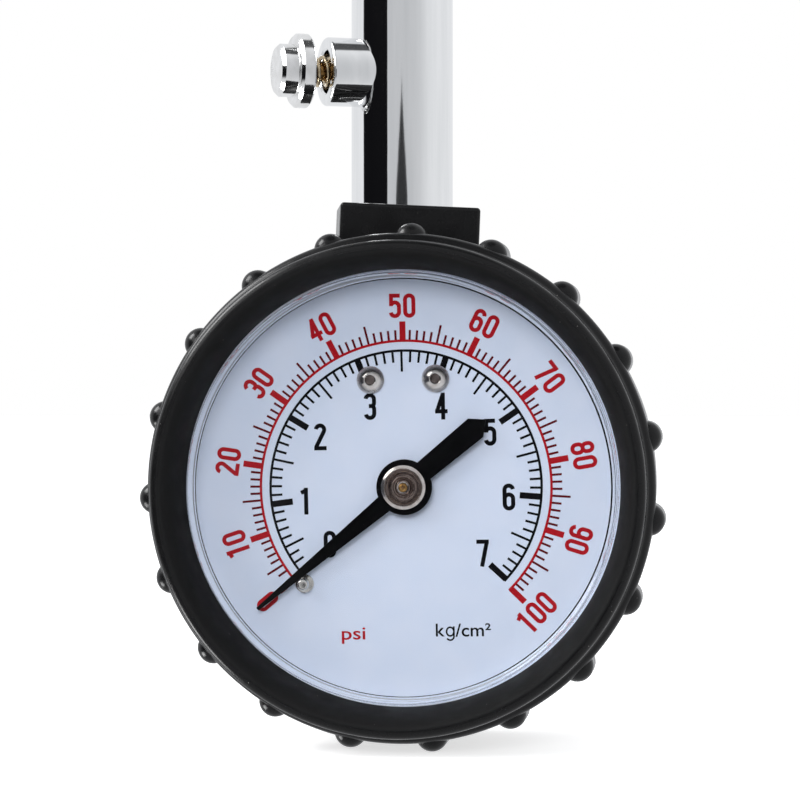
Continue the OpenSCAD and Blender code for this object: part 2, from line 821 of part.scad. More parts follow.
boot();
gauge_case();
lens();
lens_gasket();
spacer_ring();
dial_plate();
dial_screws();
stop_pin();
pointer();
pointer_bush();
pinion_shaft();
hairspring();
hairspring_stud();
front_plate();
rear_plate();
plate_pillars();
plate_screws();
sector_gear();
sector_shaft();
link();
link_pins();
bourdon_tube();
tube_end_cap();
socket();
restrictor();
socket_washer();
stem_body();
bleed_seat();
bleed_plunger();
bleed_seal();
bleed_spring();
bleed_button();
check_seat();
check_seal();
check_poppet();
check_spring();
chuck_body();
chuck_washer();
chuck_nose();
chuck_seal();
depressor_pin();
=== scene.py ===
import bmesh
import bpy
import json
import math
from mathutils import Matrix, Vector


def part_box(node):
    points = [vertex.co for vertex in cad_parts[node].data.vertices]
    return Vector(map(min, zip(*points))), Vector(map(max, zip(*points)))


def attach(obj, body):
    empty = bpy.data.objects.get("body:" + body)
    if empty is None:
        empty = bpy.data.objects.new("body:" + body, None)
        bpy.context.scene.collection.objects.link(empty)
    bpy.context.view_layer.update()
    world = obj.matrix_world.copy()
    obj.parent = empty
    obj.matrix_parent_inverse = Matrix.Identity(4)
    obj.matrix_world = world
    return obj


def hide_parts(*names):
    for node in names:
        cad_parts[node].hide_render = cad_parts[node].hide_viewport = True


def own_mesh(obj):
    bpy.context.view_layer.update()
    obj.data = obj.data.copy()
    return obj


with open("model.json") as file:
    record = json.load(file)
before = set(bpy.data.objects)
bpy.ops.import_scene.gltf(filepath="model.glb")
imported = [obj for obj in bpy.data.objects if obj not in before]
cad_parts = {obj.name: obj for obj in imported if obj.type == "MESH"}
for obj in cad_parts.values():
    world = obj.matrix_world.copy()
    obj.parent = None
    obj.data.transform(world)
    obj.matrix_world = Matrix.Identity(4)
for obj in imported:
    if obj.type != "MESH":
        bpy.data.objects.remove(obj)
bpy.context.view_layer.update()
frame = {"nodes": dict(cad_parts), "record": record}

# Sizes are in millimetres and angles in degrees unless a name says otherwise.
MM = 0.001

# ---- the working frames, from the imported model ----


def turn(degrees, axis):
    return Matrix.Rotation(math.radians(degrees), 4, axis)


def shift(x, y, z):
    return Matrix.Translation(Vector((x, y, z)) * MM)


dial_lo, dial_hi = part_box("dial_plate")
washer_lo, washer_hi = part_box("socket_washer")
button_lo, button_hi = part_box("bleed_button")
BLEED_TURN = 23.4
CHUCK_ANGLE = 45
CENTRE = Vector(((dial_lo.x + dial_hi.x) / 2, dial_lo.y, (dial_lo.z + dial_hi.z) / 2))
STEM_X = ((washer_lo.x + washer_hi.x) / 2 - CENTRE.x) / MM
STEM_BACK = ((washer_lo.y + washer_hi.y) / 2 - CENTRE.y) / MM
STEM_FOOT = (washer_hi.z - CENTRE.z) / MM
BLEED_Z = ((button_lo.z + button_hi.z) / 2 - CENTRE.z) / MM
STEM_TOP = (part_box("chuck_washer")[0].z - CENTRE.z) / MM
ELBOW_RISE = 12
ELBOW_Z = STEM_TOP + ELBOW_RISE

DIAL = Matrix.Translation(CENTRE) @ turn(90, "X")
STEM = Matrix.Translation(CENTRE) @ shift(STEM_X, STEM_BACK, 0)
BLEED = STEM @ shift(0, 0, BLEED_Z) @ turn(BLEED_TURN, "Z") @ turn(-90, "Y")
CHUCK = STEM @ shift(0, 0, ELBOW_Z) @ turn(-CHUCK_ANGLE, "X")

# A frame as another one sees it, for a tool that cuts or joins a mesh there.
STEM_IN_DIAL = shift(STEM_X, 0, -STEM_BACK) @ turn(-90, "X")
BLEED_IN_STEM = STEM.inverted() @ BLEED
CHUCK_IN_STEM = STEM.inverted() @ CHUCK

# ---- sizes that several pieces share ----

CASE_R = 26
CASE_RI = 25.3
CASE_BACK = -16
FLANGE_TOP = 4.4
SEAT_R = 25.2  # the edge of the window and of the two rings under it
RING_LOW = 2.4
RING_TOP = 3
WINDOW_TOP = 5.8
WINDOW_EDGE = 24.1
DIAL_ROLL = 1.3
BOOT_ROLL = 2.3
STEM_R = 5.8
AIR_R = 1.6
BORE_R = 4.9 / 2
BOSS_R = 3.9
BOSS_END = 9.2
BUTTON_BACK = 11.25
BUTTON_HOLE = 1.4
SPRING_FOOT = 6.8
ROD_R = 1.0
CHECK_LOW = BLEED_Z + 9

# ---- mesh building ----


def soften(corners, steps=5):
    """The corners (x, y, radius) of a closed outline, each rounded by its radius."""
    out = []
    for i, corner in enumerate(corners):
        p = Vector(corner[:2])
        radius = corner[2] if len(corner) > 2 else 0
        if not radius:
            out.append(tuple(p))
            continue
        a = (Vector(corners[i - 1][:2]) - p).normalized()
        b = (Vector(corners[(i + 1) % len(corners)][:2]) - p).normalized()
        half = a.angle(b) / 2
        middle = p + (a + b).normalized() * radius / math.sin(half)
        start = p + a * radius / math.tan(half) - middle
        end = p + b * radius / math.tan(half) - middle
        sweep = math.atan2(start.x * end.y - start.y * end.x, start.dot(end))
        for k in range(steps + 1):
            t = sweep * k / steps
            out.append((middle.x + start.x * math.cos(t) - start.y * math.sin(t),
                        middle.y + start.x * math.sin(t) + start.y * math.cos(t)))
    return out


def arc(x, y, radius, start, end, steps):
    """Points of an arc about (x, y), from one angle to another."""
    return [(x + radius * math.cos(math.radians(start + (end - start) * k / steps)),
             y + radius * math.sin(math.radians(start + (end - start) * k / steps)))
            for k in range(steps + 1)]


def lathe(outline, sides=128):
    """A closed outline of (radius, height) turned about z."""
    bm = bmesh.new()
    rings = []
    for r, z in outline:
        if r < 1e-6:
            rings.append([bm.verts.new((0, 0, z))])
        else:
            rings.append([bm.verts.new((r * math.cos(math.tau * i / sides),
                                        r * math.sin(math.tau * i / sides), z))
                          for i in range(sides)])
    for k, low in enumerate(rings):
        high = rings[(k + 1) % len(rings)]
        if len(low) == 1 and len(high) == 1:
            continue
        for i in range(sides):
            j = (i + 1) % sides
            loop = [low[i % len(low)], low[j % len(low)], high[j % len(high)], high[i % len(high)]]
            bm.faces.new(list(dict.fromkeys(loop)))
    bmesh.ops.recalc_face_normals(bm, faces=bm.faces)
    return bm


def placed(bm, *, x=0, y=0, z=0, spin=0):
    """The mesh turned about z and then moved, in millimetres."""
    bmesh.ops.transform(bm, verts=bm.verts,
                        matrix=Matrix.Translation((x, y, z)) @ turn(spin, "Z"))
    return bm


def moved(bm, matrix):
    """The mesh in another frame, whose matrix is in metres."""
    m = matrix.copy()
    m.translation = m.translation / MM
    bmesh.ops.transform(bm, verts=bm.verts, matrix=m)
    return bm


def joined(meshes):
    """Several meshes as one, without cutting them together."""
    out = bmesh.new()
    for bm in meshes:
        mesh = bpy.data.meshes.new("part")
        bm.to_mesh(mesh)
        bm.free()
        out.from_mesh(mesh)
        bpy.data.meshes.remove(mesh)
    return out


def combined(base, tool, operation):
    """Two meshes as one solid: UNION, DIFFERENCE or INTERSECT."""
    pair = []
    for bm in (base, tool):
        mesh = bpy.data.meshes.new("operand")
        bm.to_mesh(mesh)
        bm.free()
        o = bpy.data.objects.new("operand", mesh)
        bpy.context.scene.collection.objects.link(o)
        pair.append(o)
    cut = pair[0].modifiers.new("cut", "BOOLEAN")
    cut.object = pair[1]
    cut.operation = operation
    cut.solver = "EXACT"
    out = bmesh.new()
    out.from_object(pair[0], bpy.context.evaluated_depsgraph_get())
    for o in pair:
        mesh = o.data
        bpy.data.objects.remove(o)
        bpy.data.meshes.remove(mesh)
    bmesh.ops.remove_doubles(out, verts=out.verts, dist=1e-4)
    return out


def box(low, high, bevel=0.0):
    """A block between two corners, its edges rounded."""
    bm = bmesh.new()
    bmesh.ops.create_cube(bm, size=1)
    size = [b - a for a, b in zip(low, high)]
    bmesh.ops.scale(bm, verts=bm.verts, vec=size)
    bmesh.ops.translate(bm, verts=bm.verts, vec=[(a + b) / 2 for a, b in zip(low, high)])
    if bevel:
        bmesh.ops.bevel(bm, geom=bm.edges, offset=bevel, segments=3, profile=0.5,
                        affect="EDGES")
    return bm


def prism(outline, low, high):
    """A flat outline raised from one height to another."""
    bm = bmesh.new()
    bottom = bm.faces.new([bm.verts.new((x, y, low)) for x, y in outline])
    top = bmesh.ops.extrude_face_region(bm, geom=[bottom])
    lifted = [v for v in top["geom"] if isinstance(v, bmesh.types.BMVert)]
    bmesh.ops.translate(bm, verts=lifted, vec=(0, 0, high - low))
    bmesh.ops.recalc_face_normals(bm, faces=bm.faces)
    return bm


def sheet_metal(outlines, low, high, bevel):
    """A flat plate with bevelled edges from an outline and its holes."""
    curve = bpy.data.curves.new("plate", "CURVE")
    curve.dimensions = "2D"
    curve.fill_mode = "BOTH"
    curve.extrude = (high - low) / 2 - bevel
    curve.bevel_depth = bevel
    curve.bevel_resolution = 2
    curve.offset = -bevel
    for outline in outlines:
        spline = curve.splines.new("POLY")
        spline.points.add(len(outline) - 1)
        for point, (x, y) in zip(spline.points, outline):
            point.co = (x, y, 0, 1)
        spline.use_cyclic_u = True
    return from_curve(curve, (low + high) / 2)


def from_curve(curve, height):
    """A curve or text as a closed mesh at that height."""
    o = bpy.data.objects.new("curve", curve)
    bpy.context.scene.collection.objects.link(o)
    evaluated = o.evaluated_get(bpy.context.evaluated_depsgraph_get())
    mesh = bpy.data.meshes.new_from_object(evaluated)
    bm = bmesh.new()
    bm.from_mesh(mesh)
    bpy.data.objects.remove(o)
    bpy.data.meshes.remove(mesh)
    bpy.data.curves.remove(curve)
    bmesh.ops.remove_doubles(bm, verts=bm.verts, dist=1e-4)
    return placed(bm, z=height)


def ribbon(path, width, low, high, closed=False):
    """A flat strip of even width along a path of (x, y) points."""
    points = [Vector(p) for p in path]
    count = len(points)
    sides = []
    for i, p in enumerate(points):
        before = points[i - 1] if closed or i else None
        after = points[(i + 1) % count] if closed or i < count - 1 else None
        a = (p - before).normalized() if before else (after - p).normalized()
        b = (after - p).normalized() if after else a
        bisector = (a + b).normalized()
        normal = Vector((-bisector.y, bisector.x))
        reach = width / 2 / max(0.5, bisector.dot(a))
        sides.append((p + normal * reach, p - normal * reach))
    bm = bmesh.new()
    rows = [[bm.verts.new((q.x, q.y, z)) for q, z in
             ((left, low), (right, low), (right, high), (left, high))] for left, right in sides]
    for i in range(count if closed else count - 1):
        here, there = rows[i], rows[(i + 1) % count]
        for k in range(4):
            n = (k + 1) % 4
            bm.faces.new([here[k], here[n], there[n], there[k]])
    if not closed:
        bm.faces.new(rows[0])
        bm.faces.new(rows[-1])
    bmesh.ops.recalc_face_normals(bm, faces=bm.faces)
    return bm


def coil(radius, wire, low, high, turns, per_turn=40, sides=12):
    """Round wire wound about z, with most of a turn pressed flat at each end."""
    flat = 0.8
    bm = bmesh.new()
    steps = int(turns * per_turn)
    travel = high - low - 4 * wire
    rows = []
    for i in range(steps + 1):
        t = i / steps
        lead = min(1, max(0, (t * turns - flat) / (turns - 2 * flat)))
        first = wire * min(1, t * turns / flat)
        last = wire * min(1, (1 - t) * turns / flat)
        z = low + 2 * wire + first + lead * travel - last
        a = math.tau * turns * t
        rows.append([bm.verts.new(((radius + wire * math.cos(b)) * math.cos(a),
                                   (radius + wire * math.cos(b)) * math.sin(a),
                                   z + wire * math.sin(b)))
                     for b in (math.tau * k / sides for k in range(sides))])
    for here, there in zip(rows, rows[1:]):
        for k in range(sides):
            n = (k + 1) % sides
            bm.faces.new([here[k], here[n], there[n], there[k]])
    bm.faces.new(rows[0])
    bm.faces.new(rows[-1])
    bmesh.ops.recalc_face_normals(bm, faces=bm.faces)
    return bm


SHARP = math.radians(34)


def piece(name, bm, finish, at, body, nodes=()):
    """A visible piece: the mesh in its frame, with its finish, riding on a CAD body."""
    mesh = bpy.data.meshes.new(name)
    bmesh.ops.scale(bm, verts=bm.verts, vec=(MM, MM, MM))
    bm.to_mesh(mesh)
    bm.free()
    mesh.polygons.foreach_set("use_smooth", [True] * len(mesh.polygons))
    mesh.set_sharp_from_angle(angle=SHARP)
    o = bpy.data.objects.new(name, mesh)
    bpy.context.scene.collection.objects.link(o)
    o.matrix_world = at
    mesh.materials.append(FINISHES[finish])
    even = o.modifiers.new("even_normals", "WEIGHTED_NORMAL")
    even.keep_sharp = True
    even.weight = 70
    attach(o, body)
    if nodes:
        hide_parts(*nodes)
    return o


# ---- finishes ----


class Nodes:
    """Short calls for the nodes of one tree."""

    def __init__(self, tree):
        self.tree = tree

    def add(self, kind, **values):
        node = self.tree.nodes.new("ShaderNode" + kind)
        for key, value in values.items():
            setattr(node, key, value)
        return node

    def put(self, socket, value):
        if isinstance(value, bpy.types.NodeSocket):
            self.tree.links.new(value, socket)
        else:
            socket.default_value = value

    def math(self, operation, *values):
        node = self.add("Math", operation=operation)
        for socket, value in zip(node.inputs, values):
            self.put(socket, value)
        return node.outputs[0]

    def between(self, value, low, high, out_low=0.0, out_high=1.0):
        """A smooth step from one value to another as the input goes from low to high."""
        node = self.add("MapRange", interpolation_type="SMOOTHSTEP")
        for socket, v in zip(node.inputs, (value, low, high, out_low, out_high)):
            self.put(socket, v)
        return node.outputs[0]

    def blend(self, factor, a, b):
        node = self.add("Mix", data_type="RGBA")
        self.put(node.inputs[0], factor)
        self.put(node.inputs[6], a if isinstance(a, bpy.types.NodeSocket) else (*a, 1))
        self.put(node.inputs[7], b if isinstance(b, bpy.types.NodeSocket) else (*b, 1))
        return node.outputs[2]

    def band(self, value, low, high, soft_low, soft_high):
        """One between low and high, falling smoothly to nothing on either side."""
        rising = self.between(value, low, low + soft_low)
        return self.math("MULTIPLY", rising, self.between(value, high - soft_high, high, 1.0, 0.0))

    def place(self, stretch=(1, 1, 1)):
        """The piece's own coordinates in millimetres, stretched."""
        mapping = self.add("Mapping")
        self.put(mapping.inputs[0], self.add("TexCoord").outputs["Object"])
        mapping.inputs["Scale"].default_value = [s / MM for s in stretch]
        return mapping.outputs[0]

    def noise(self, scale, detail, stretch=(1, 1, 1)):
        node = self.add("TexNoise")
        self.put(node.inputs["Vector"], self.place(stretch))
        node.inputs["Scale"].default_value = scale
        node.inputs["Detail"].default_value = detail
        return node.outputs["Fac"]

    def radius(self):
        """The distance from the piece's own axis, in millimetres."""
        flat = self.add("VectorMath", operation="MULTIPLY")
        self.put(flat.inputs[0], self.place())
        flat.inputs[1].default_value = (1, 1, 0)
        length = self.add("VectorMath", operation="LENGTH")
        self.put(length.inputs[0], flat.outputs[0])
        return length.outputs["Value"]

    def specks(self, scale, size):
        node = self.add("TexVoronoi")
        self.put(node.inputs["Vector"], self.place())
        node.inputs["Scale"].default_value = scale
        return self.between(node.outputs["Distance"], size * 0.6, size, 1.0, 0.0)

    def rings(self, scale):
        node = self.add("TexWave", wave_type="RINGS", rings_direction="Z")
        self.put(node.inputs["Vector"], self.place())
        node.inputs["Scale"].default_value = scale
        node.inputs["Distortion"].default_value = 0.6
        node.inputs["Detail"].default_value = 2
        return node.outputs["Fac"]

    def bump(self, height, strength, depth, normal=None):
        node = self.add("Bump")
        node.inputs["Strength"].default_value = strength
        node.inputs["Distance"].default_value = depth * MM
        self.put(node.inputs["Height"], height)
        if normal is not None:
            self.put(node.inputs["Normal"], normal)
        return node.outputs[0]


def surface(name, **fixed):
    """A new material, its node helper and its Principled shader with uniform values set."""
    m = bpy.data.materials.new(name)
    m.use_nodes = True
    shader = m.node_tree.nodes["Principled BSDF"]
    for key, value in fixed.items():
        shader.inputs[key.replace("_", " ")].default_value = value
    return m, Nodes(m.node_tree), shader


DUST = (0.35, 0.34, 0.32)
HOOD_FADE = (25.6, 26.3)  # the radii between which the hood's matt inside turns glossy
WEAR = 0.35


def rubber(name, dark, light, rough, dust=0.0, hood=0.0):
    """Moulded black rubber: fine grain, cloudy sheen, specks of dust and a matt hood if any."""
    m, n, s = surface(name, Specular_IOR_Level=0.2)
    cloud = n.noise(0.35, 4)
    grain = n.noise(9, 3)
    colour = n.blend(cloud, dark, light)
    if dust:
        spot = n.math("MULTIPLY", n.specks(0.9, 0.05), n.between(n.noise(0.5, 2), 0.5, 0.62))
        colour = n.blend(n.math("MULTIPLY", spot, dust), colour, DUST)
    n.put(s.inputs["Base Color"], colour)
    gloss = n.between(cloud, 0.3, 0.7, rough - 0.05, rough + 0.06)
    if hood:
        gloss = n.math("ADD", gloss, n.between(n.radius(), *HOOD_FADE, hood, 0.0))
    n.put(s.inputs["Roughness"], gloss)
    wave = n.bump(cloud, 0.2, 0.05)
    n.put(s.inputs["Normal"], n.bump(grain, 0.16, 0.02, wave))
    return m


def metal(name, dull, bright, rough, streak=(1, 1, 1), turned=0.0, ring_tint=None):
    """Plated or machined metal: tone and polish vary in streaks, with turning marks if any.

    The last argument is a colour and the radii between which the metal takes it; on the pointer's
    hub it is tarnish and painted shade.
    """
    m, n, s = surface(name, Metallic=1.0)
    tone = n.noise(0.8, 5, streak)
    fine = n.noise(6, 3, streak)
    colour = n.blend(n.between(tone, 0.3, 0.7), dull, bright)
    if ring_tint:
        ring_colour, low, high = ring_tint
        ring = n.band(n.radius(), low - 0.05, high + 0.05, 0.1, 0.1)
        ring = n.math("MULTIPLY", ring, n.between(fine, 0.2, 0.5, 0.75, 1.0))
        colour = n.blend(ring, colour, ring_colour)
    n.put(s.inputs["Base Color"], colour)
    polish = n.math("MULTIPLY", n.between(fine, 0.25, 0.75), WEAR)
    polish = n.math("ADD", polish, n.math("MULTIPLY", tone, WEAR))
    n.put(s.inputs["Roughness"], n.math("MULTIPLY_ADD", polish, rough, rough * 0.75))
    normal = n.bump(tone, 0.1, 0.04)
    if turned:
        normal = n.bump(n.rings(turned), 0.18, 0.02, normal)
    n.put(s.inputs["Normal"], n.bump(fine, 0.08, 0.01, normal))
    return m


def painted(name, dark, light, rough, peel=0.12, gloss=0.5):
    """Enamel or plastic: slight cloudiness, orange peel and uneven gloss."""
    m, n, s = surface(name, Specular_IOR_Level=gloss)
    cloud = n.noise(0.25, 4)
    skin = n.noise(2.2, 2)
    n.put(s.inputs["Base Color"], n.blend(n.between(cloud, 0.3, 0.7), dark, light))
    n.put(s.inputs["Roughness"], n.between(skin, 0.3, 0.7, rough - 0.04, rough + 0.06))
    n.put(s.inputs["Normal"], n.bump(skin, peel, 0.03))
    return m


def ink(name, dark, light):
    """Screen-printed ink: dense, with a little mottle and a soft gloss."""
    m, n, s = surface(name, Specular_IOR_Level=0.06)
    mottle = n.noise(5, 3)
    n.put(s.inputs["Base Color"], n.blend(n.between(mottle, 0.35, 0.7), dark, light))
    n.put(s.inputs["Roughness"], n.between(mottle, 0.3, 0.7, 0.32, 0.45))
    n.put(s.inputs["Normal"], n.bump(mottle, 0.1, 0.01))
    return m


def clear(name):
    """Clear moulded acrylic with faint flow marks and fine scratches, which lets light through."""
    m, n, s = surface(name, Transmission_Weight=1.0, IOR=1.49)
    haze = n.noise(0.18, 3)
    scratch = n.noise(3, 2, (1, 0.06, 1))
    n.put(s.inputs["Base Color"], n.blend(haze, (0.985, 0.99, 1), (1, 1, 1)))
    n.put(s.inputs["Roughness"], n.between(scratch, 0.62, 0.75, 0.0, 0.05))
    n.put(s.inputs["Normal"], n.bump(haze, 0.03, 0.05))
    path = n.add("LightPath")
    through = n.add("BsdfTransparent")
    through.inputs[0].default_value = (0.95, 0.96, 0.98, 1)
    mix = n.add("MixShader")
    n.put(mix.inputs[0], path.outputs["Is Shadow Ray"])
    n.put(mix.inputs[1], s.outputs[0])
    n.put(mix.inputs[2], through.outputs[0])
    out = m.node_tree.nodes["Material Output"]
    n.put(out.inputs[0], mix.outputs[0])
    return m


FINISHES = {
    "boot_rubber": rubber("boot_rubber", (0.004, 0.004, 0.0043), (0.007, 0.007, 0.0074), 0.24,
                          dust=0.8, hood=0.5),
    "case_black": painted("case_black", (0.012, 0.012, 0.013), (0.02, 0.02, 0.021), 0.32),
    "window": clear("window"),
    "seal_rubber": rubber("seal_rubber", (0.01, 0.01, 0.01), (0.018, 0.018, 0.018), 0.5),
    "ring_white": painted("ring_white", (0.66, 0.67, 0.69), (0.74, 0.75, 0.77), 0.42),
    "dial_white": painted("dial_white", (0.73, 0.81, 0.96), (0.77, 0.84, 0.98), 0.38, peel=0.05),
    # The screw head's dished centre is darker and brownish.
    "screw_chrome": metal("screw_chrome", (0.7, 0.66, 0.62), (0.86, 0.83, 0.8), 0.1, turned=3,
                          ring_tint=((0.34, 0.28, 0.26), -1, 0.55)),
    "pin_nickel": metal("pin_nickel", (0.7, 0.68, 0.63), (0.82, 0.8, 0.76), 0.2),
    "pointer_black": painted("pointer_black", (0.0022, 0.0022, 0.0026), (0.004, 0.004, 0.0045),
                             0.4, gloss=0.04),
    # Inside its rim the hub's face is brownish and dark: tarnish, and painted shade in place of
    # the dark reflection of its flat face.
    "bush_nickel": metal("bush_nickel", (0.66, 0.6, 0.56), (0.84, 0.79, 0.74), 0.12, turned=2.5,
                         ring_tint=((0.3, 0.24, 0.215), 0.62, 2.04)),
    "arbor_bronze": metal("arbor_bronze", (0.45, 0.24, 0.11), (0.6, 0.36, 0.18), 0.25),
    "plunger_bronze": metal("plunger_bronze", (0.28, 0.15, 0.05), (0.5, 0.3, 0.11), 0.25),
    "spring_steel": metal("spring_steel", (0.5, 0.4, 0.26), (0.66, 0.55, 0.38), 0.22),
    "brass": metal("brass", (0.62, 0.45, 0.19), (0.78, 0.6, 0.3), 0.28, turned=1.5),
    "tube_bronze": metal("tube_bronze", (0.58, 0.36, 0.16), (0.74, 0.5, 0.25), 0.3),
    "steel": metal("steel", (0.5, 0.5, 0.5), (0.65, 0.65, 0.66), 0.25, turned=2),
    "fibre": painted("fibre", (0.32, 0.08, 0.045), (0.45, 0.13, 0.07), 0.6, peel=0.3),
    "stem_chrome": metal("stem_chrome", (0.8, 0.81, 0.815), (0.87, 0.875, 0.88), 0.04,
                         streak=(1, 1, 0.05)),
    "button_chrome": metal("button_chrome", (0.74, 0.74, 0.73), (0.86, 0.86, 0.86), 0.09,
                           turned=3),
    "nose_chrome": metal("nose_chrome", (0.74, 0.74, 0.73), (0.86, 0.86, 0.86), 0.09),
    "ink_red": ink("ink_red", (0.42, 0.008, 0.014), (0.52, 0.013, 0.022)),
    "ink_maroon": ink("ink_maroon", (0.1, 0.004, 0.009), (0.15, 0.007, 0.014)),
    "ink_black": ink("ink_black", (0.003, 0.003, 0.004), (0.006, 0.006, 0.008)),
}

# ---- boot, case and window ----

LIP_R = 26.9
LIP_CREST = 11.8
LIP_ROUND = 1.0
LIP_RISE = 7.3
BEAD_R = 26.85
BEAD_Z = 6.5
BEAD_ROUND = 1.2
WALL_R = 27.5
RIDGE_Z = -8.85
BOOT_BACK = -17.98
BACK_STEP = -17.7
BACK_OPENING = 17.02
HOLLOW_R = 26.1
HOLLOW_LOW = -16.1
HOLLOW_TOP = 5.05
RIB_COUNT = 19
RIB_RING = 27.4
RIB_R = 1.8
RIB_LOW = 0.2
RIB_HIGH = 5.2
NECK_W = 15.8
NECK_DEPTH = 14
NECK_TURN = 9
NECK_ASIDE = 0.65
NECK_ROOT = 22.2
NECK_TOP = 31.6


def boot_outline():
    """The rubber sleeve's section: hooded lip, bead, wall, turned-in back and case seat."""
    inner = LIP_R - LIP_ROUND + 0.2
    lip = [(inner - (inner - WINDOW_EDGE) * math.cos(math.radians(t)),
            FLANGE_TOP + 0.1 + LIP_RISE * math.sin(math.radians(t))) for t in range(0, 89, 4)]
    crest = arc(inner, LIP_CREST - LIP_ROUND, LIP_ROUND, 90, 0, 12)
    bead = arc(BEAD_R, BEAD_Z, BEAD_ROUND, 66, -50, 12)
    tail = soften([(WALL_R, 0), (WALL_R, BOOT_BACK, 0.9), (22.6, BOOT_BACK), (22.4, BACK_STEP),
                   (21.6, BACK_STEP), (21.4, BOOT_BACK), (BACK_OPENING, BOOT_BACK, 0.4),
                   (BACK_OPENING, HOLLOW_LOW), (HOLLOW_R, HOLLOW_LOW), (HOLLOW_R, HOLLOW_TOP),
                   (24.55, HOLLOW_TOP), (24.55, 4.5)])[1:]
    ridge = [(WALL_R, RIDGE_Z + 0.25), (WALL_R + 0.07, RIDGE_Z + 0.1),
             (WALL_R + 0.07, RIDGE_Z - 0.1), (WALL_R, RIDGE_Z - 0.25)]
    return lip + crest + [(27.1, 8.8), (27.06, 8.1)] + bead + [(WALL_R, 5.1)] + ridge + tail


def rib():
    """A rib of the grip: a round-ended bar, half of it inside the boot's wall."""
    outline = [(0, RIB_LOW - RIB_R)] + arc(0, RIB_LOW, RIB_R, -82, 0, 9)
    outline += arc(0, RIB_HIGH, RIB_R, 0, 82, 9) + [(0, RIB_HIGH + RIB_R)]
    return placed(lathe(outline, 40), x=RIB_RING)


def neck():
    """The block of rubber round the stem's foot, turned a little about the stem."""
    w, d = NECK_W / 2, NECK_DEPTH / 2
    bm = box((-w, NECK_ROOT, -d), (w, NECK_TOP, d), 0.4)
    bmesh.ops.transform(bm, verts=bm.verts, matrix=turn(NECK_TURN, "Y"))
    bmesh.ops.translate(bm, verts=bm.verts, vec=(STEM_X - NECK_ASIDE, 0, -STEM_BACK))
    return placed(bm, spin=-BOOT_ROLL)


def boot():
    body = combined(lathe(boot_outline(), 288), neck(), "UNION")
    ribs = [placed(rib(), spin=90 - BOOT_ROLL + i * 360 / RIB_COUNT) for i in range(RIB_COUNT)]
    body = combined(body, joined(ribs), "UNION")
    hollow = [(0, HOLLOW_LOW), (HOLLOW_R, HOLLOW_LOW), (HOLLOW_R, HOLLOW_TOP), (0, HOLLOW_TOP)]
    body = combined(body, lathe(hollow, 288), "DIFFERENCE")
    fit = STEM_R + 0.15
    hole = lathe([(0, 10), (fit, 10), (fit, NECK_TOP - 0.35), (fit + 0.4, 40), (0, 40)], 96)
    body = combined(body, moved(hole, STEM_IN_DIAL), "DIFFERENCE")
    piece("rubber_boot", body, "boot_rubber", DIAL, "gauge", ["boot"])


def case():
    low, wall, groove = CASE_BACK, CASE_R - CASE_RI, 0.25
    outline = [(0, low)]
    for r in (7.6, 14.6):
        outline += [(r, low), (r + 0.1, low + groove), (r + 0.7, low + groove), (r + 0.8, low)]
    outline += soften([(16, low), (CASE_R, low, 0.6), (CASE_R, 5, 0.35), (24.7, 5, 0.15),
                       (24.7, FLANGE_TOP, 0.1), (CASE_RI, FLANGE_TOP), (CASE_RI, low + wall),
                       (0, low + wall)])[1:]
    hole = moved(lathe([(0, 12), (5.2, 12), (5.2, 40), (0, 40)], 64), STEM_IN_DIAL)
    shell = combined(lathe(outline, 192), hole, "DIFFERENCE")
    piece("case_shell", shell, "case_black", DIAL, "gauge", ["gauge_case"])


def window():
    lens_r, under, edge = WINDOW_EDGE - 0.15, 3.8, 0.56
    step = lens_r - 0.8
    outline = [(0, under), (step - 0.1, under), (step, under - 0.1), (step, 2.8)]
    for r in (step + 0.06, step + 0.38):
        outline += [(r, 2.74), (r + 0.16, 2.84)]
    outline += [(step + 0.7, RING_TOP), (SEAT_R, RING_TOP), (SEAT_R, FLANGE_TOP),
                (lens_r, FLANGE_TOP)]
    outline += arc(lens_r - edge, WINDOW_TOP - edge, edge, 0, 90, 10) + [(0, WINDOW_TOP)]
    piece("clear_window", lathe(outline, 256), "window", DIAL, "gauge", ["lens"])


def ring(low, high, round_low, round_high):
    """One of the two flat rings that stand between the dial and the window."""
    inner = SEAT_R - 0.85
    outline = soften([(inner, low, round_low), (SEAT_R, low, round_low),
                      (SEAT_R, high, round_high), (inner, high, round_high)], 3)
    return lathe(outline, 160)


def rings():
    piece("window_gasket", ring(RING_LOW, RING_TOP, 0.12, 0.12), "seal_rubber", DIAL, "gauge",
          ["lens_gasket"])
    piece("white_spacer", ring(0, RING_LOW, 0.05, 0.1), "ring_white", DIAL, "gauge",
          ["spacer_ring"])


# ---- printed dial ----

INK = 0.015
LAYER = 0.004  # how much higher a stroke lies than the one that it crosses
RED_R = 16.3
BLACK_R = 15.2
RED_LONG, RED_SHORT = 18.45, 17.5
BLACK_TEN, BLACK_FIVE, BLACK_ONE = 12.8, 12.85, 13.9
ZERO = 219.7
PSI_TEN, PSI_STEP = 199.0, 2.697
KG_ONE, KG_STEP = 187.6, 38.32
PSI_RING = 20.2
KG_PLACES = [(-8.5, -6.45), (-11.35, -1.65), (-9.6, 5.55), (-4.0, 8.95), (4.0, 9.0),
             (9.45, 6.1), (11.55, -1.1), (8.65, -7.35)]
UNIT_SIZE = 2.05
PSI_LINE, KG_LINE = -17.11, -16.66


def around(radius, angle):
    return radius * math.cos(math.radians(angle)), radius * math.sin(math.radians(angle))


def psi_angle(value):
    """Where a value of the outer scale stands; its zero is at the pointer's stop."""
    return PSI_TEN - PSI_STEP * (value - 10) if value else ZERO


def tick(angle, r_in, r_out, width):
    return ribbon([around(r_in, angle), around(r_out, angle)], width, 0, INK)


def base_line(radius, end):
    return ribbon(arc(0, 0, radius, ZERO, end, 240), 0.28, 0, INK + LAYER)


